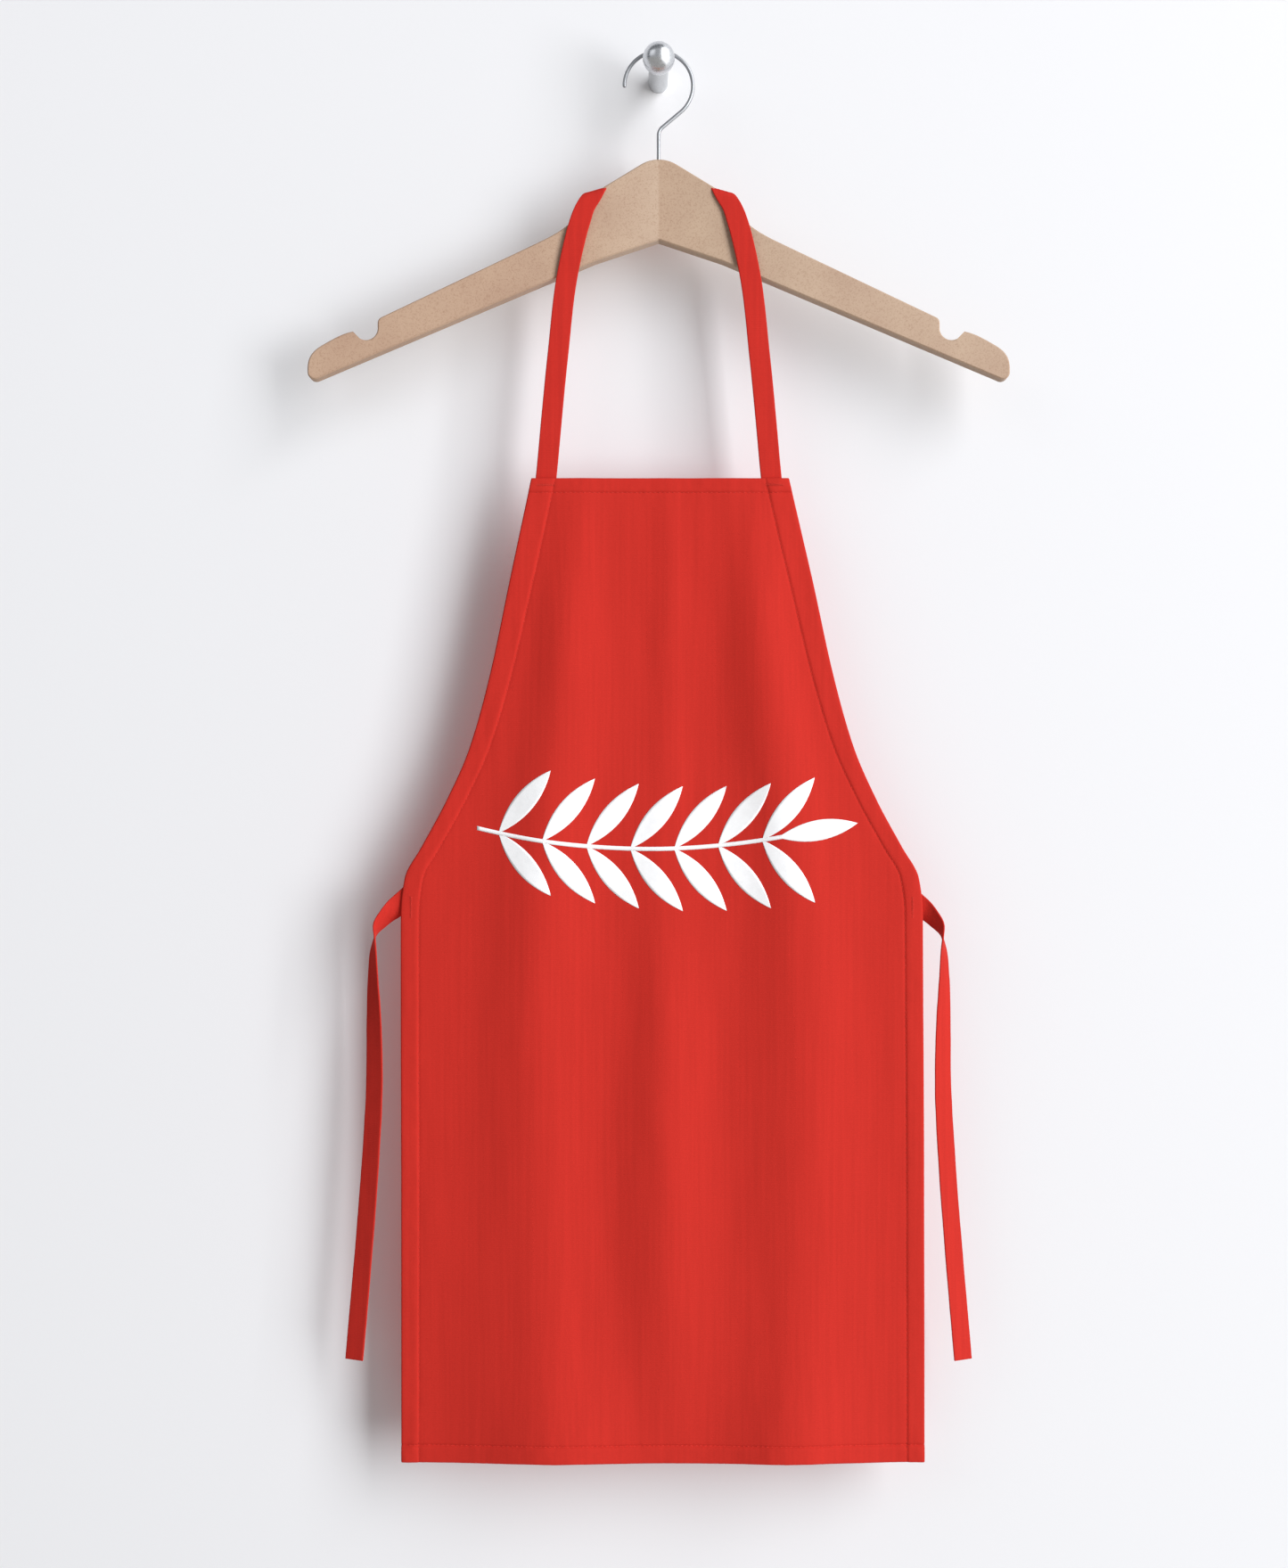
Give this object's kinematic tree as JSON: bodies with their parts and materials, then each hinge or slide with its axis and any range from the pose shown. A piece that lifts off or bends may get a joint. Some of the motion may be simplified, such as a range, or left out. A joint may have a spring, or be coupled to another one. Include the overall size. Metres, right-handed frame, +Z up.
{
  "type": "bib apron on hanger and wall knob",
  "caption": "Bib apron hung by its neck strap over a flat wooden hanger, whose wire hook rests on a polished wall knob; hook, hanger, apron and waist ties swing.",
  "frame": {"origin": "centre of the wall knob's base, on the wall face", "axes": "+Z up, +Y into the wall along the knob's fixing, the room and the viewer on the -Y side, +X to the viewer's right"},
  "size_m": [0.4496, 0.0942, 0.9042],
  "materials": {
    "chrome": "polished chrome plate",
    "zinc_steel": "zinc-plated, threaded",
    "nylon": "moulded grey nylon",
    "steel_wire": "drawn steel wire, bright",
    "fibreboard": "raw pale board, sealed matt",
    "beech_dowel": "turned beech",
    "red_cotton": "plain-weave cotton twill, matt",
    "red_tape": "folded and topstitched cotton tape",
    "thread": "spun polyester thread",
    "white_print": "screen-printed ink, matt"
  },
  "bodies": {
    "wall_knob": {"knob_ball": "chrome", "knob_stem": "chrome", "mounting_stud": "zinc_steel", "wall_plug": "nylon"},
    "hook": {"hook_wire": "steel_wire", "hook_collar": "steel_wire"},
    "hanger": {"hanger_arm_left": "fibreboard", "hanger_arm_right": "fibreboard", "joint_dowels": "beech_dowel", "neck_strap_back": "red_tape"},
    "apron": {"apron_panel": "red_cotton", "armhole_facing_left": "red_cotton", "armhole_facing_right": "red_cotton", "neck_strap_left": "red_tape", "neck_strap_right": "red_tape", "sewn_tie_ends": "red_tape", "strap_bartacks": "thread", "tie_bartacks": "thread", "printed_sprig": "white_print"},
    "tie_left": {"waist_tie_left": "red_tape"},
    "tie_right": {"waist_tie_right": "red_tape"}
  },
  "joints": [
    {"name": "hook_swing", "type": "hinge", "parent": "wall_knob", "child": "hook", "pos_m": [0, -0.0345, -0.0141], "axis": [0, 1, 0], "range_deg": [-25, 25]},
    {"name": "hanger_swivel", "type": "hinge", "parent": "hook", "child": "hanger", "pos_m": [0, -0.0345, -0.075], "axis": [0, 0, 1], "range_deg": [-7, 7]},
    {"name": "apron_swing", "type": "hinge", "parent": "hanger", "child": "apron", "pos_m": [0, -0.04045, -0.0805], "axis": [-1, 0, 0], "range_deg": [0, 30]},
    {"name": "tie_left_swing", "type": "hinge", "parent": "apron", "child": "tie_left", "pos_m": [-0.1676, -0.03805, -0.532], "axis": [0, 1, 0], "range_deg": [0, 60]},
    {"name": "tie_right_swing", "type": "hinge", "parent": "apron", "child": "tie_right", "pos_m": [0.1676, -0.03805, -0.532], "axis": [0, -1, 0], "range_deg": [0, 60]}
  ]
}
